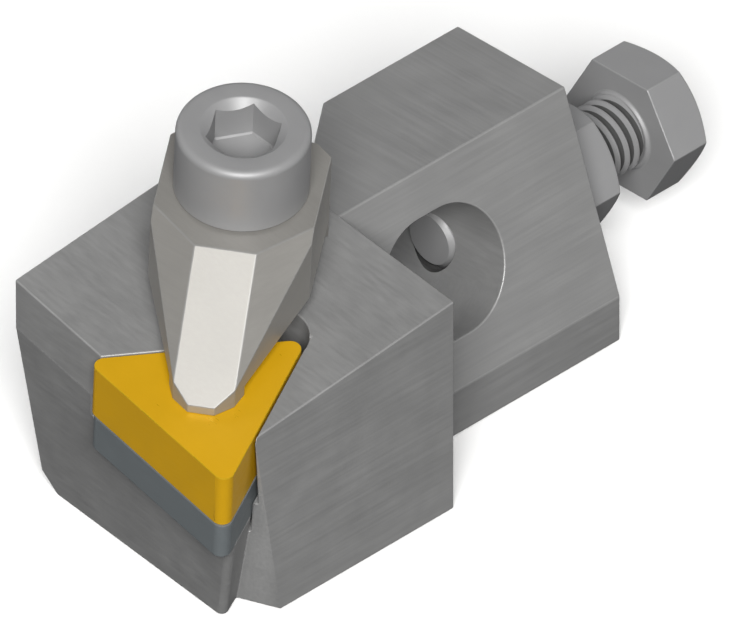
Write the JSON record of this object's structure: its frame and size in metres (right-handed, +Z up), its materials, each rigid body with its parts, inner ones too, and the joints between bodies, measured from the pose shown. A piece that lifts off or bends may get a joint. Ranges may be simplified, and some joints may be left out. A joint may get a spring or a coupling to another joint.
{
  "type": "indexable turning cartridge",
  "caption": "Turning cartridge: steel body with a sloped, slotted tail, top clamp holding a triangular gold insert on a shim, and an axial adjusting bolt with lock nut.",
  "frame": {"origin": "in the base face, on the shoulder line between head and tail, midway across the head", "axes": "+X from the back face toward the cutting corner's side, +Y from the head along the tail to the adjusting bolt, +Z up from the base"},
  "size_m": [0.025, 0.0633, 0.0343],
  "materials": {
    "body_steel": "fine satin, ground",
    "shim_carbide": "ground, blue-grey",
    "insert_coating": "satin gold coating on carbide",
    "clamp_steel": "fine satin, bright",
    "screw_steel": "smooth, light sheen",
    "spring_steel": "drawn wire"
  },
  "bodies": {
    "holder": {"body": "body_steel", "shim": "shim_carbide", "shim_screw": "screw_steel", "insert": "insert_coating"},
    "clamp": {"clamp": "clamp_steel", "clamp_spring": "spring_steel"},
    "clamp_screw": {"clamp_screw": "screw_steel"},
    "lock_nut": {"lock_nut": "screw_steel"},
    "adjusting_bolt": {"adjusting_bolt": "screw_steel"}
  },
  "joints": [
    {"name": "clamp_lift", "type": "slide", "parent": "holder", "child": "clamp", "axis": [0.143, -0.0936, 0.9853], "range_m": [0, 0.003], "deforming": ["clamp_spring"]},
    {"name": "clamp_screw_turn", "type": "hinge", "parent": "clamp", "child": "clamp_screw", "pos_m": [-0.00176, -0.00897, 0.01969], "axis": [0.143, -0.0936, 0.9853], "range_deg": [0, 1080]},
    {"name": "adjuster_travel", "type": "slide", "parent": "holder", "child": "lock_nut", "axis": [0, 1, 0], "range_m": [0, 0.003]},
    {"name": "adjuster_turn", "type": "hinge", "parent": "lock_nut", "child": "adjusting_bolt", "pos_m": [-0.0048, 0.02388, 0.009], "axis": [0, 1, 0], "range_deg": [0, 1080]}
  ],
  "couplings": [
    {"joint": "clamp_screw_turn", "follows": "clamp_lift", "rad_per_m": 6283.2},
    {"joint": "adjuster_turn", "follows": "adjuster_travel", "rad_per_m": 6283.2}
  ]
}
